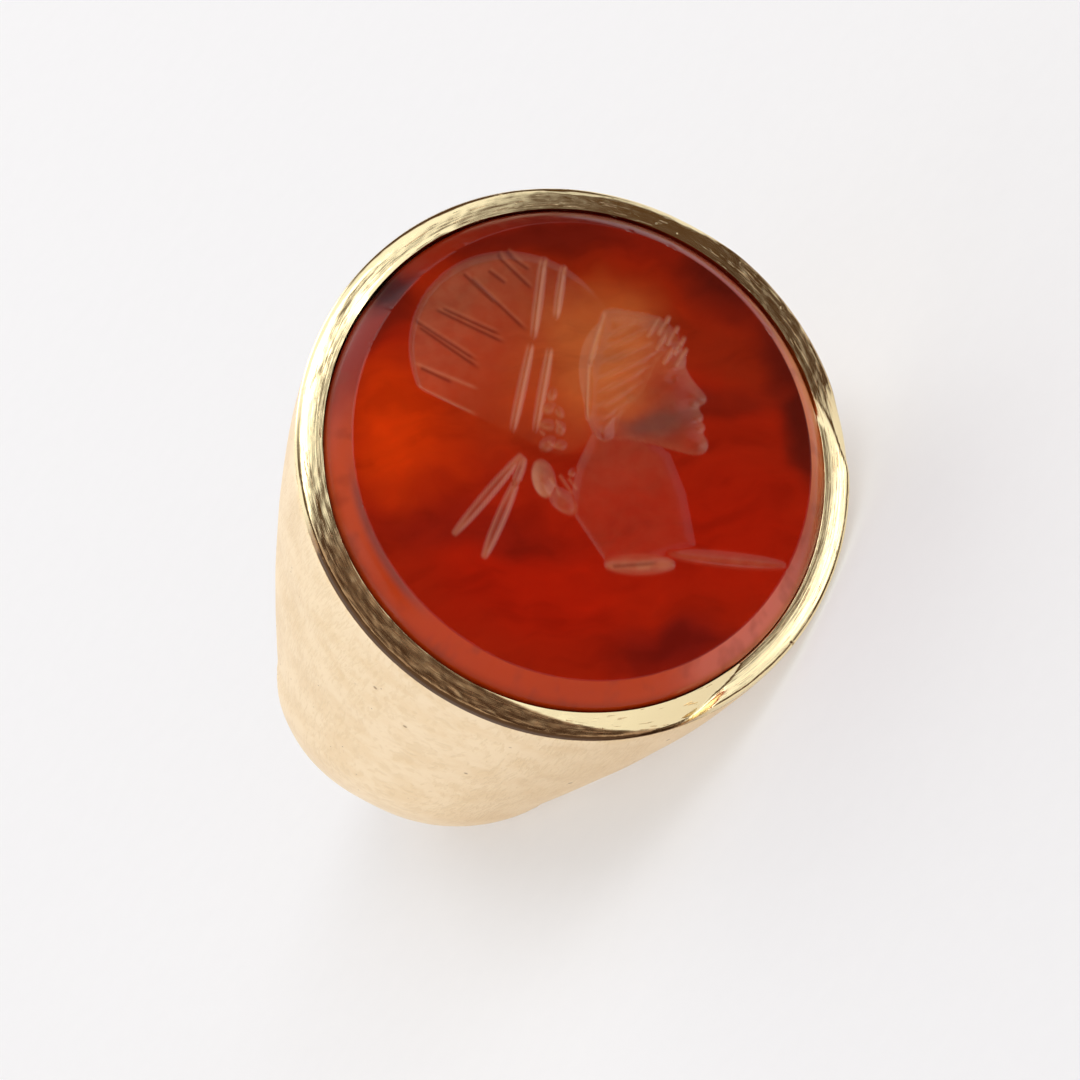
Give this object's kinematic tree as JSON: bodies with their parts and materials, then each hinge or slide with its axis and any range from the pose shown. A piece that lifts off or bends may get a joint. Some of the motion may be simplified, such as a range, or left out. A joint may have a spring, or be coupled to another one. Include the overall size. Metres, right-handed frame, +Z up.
{
  "type": "signet ring with an engraved stone",
  "caption": "Heavy gold signet ring whose wide shoulders taper from a round rim, set with a flat engraved carnelian, lying on its flat side.",
  "frame": {"origin": "middle of the footprint on the floor, below the ring as it lies on its flat side", "axes": "+Z up; the bezel looks towards -Y and about 24 degrees upwards; X runs across the bezel and the finger"},
  "size_m": [0.0242, 0.0274, 0.0216],
  "materials": {
    "gold": "worn yellow gold, satin on the shoulders and polished on the rim",
    "carnelian": "polished translucent orange-red stone with cloudy bands"
  },
  "bodies": {
    "root": {"hoop": "gold", "stone": "carnelian"}
  },
  "joints": []
}
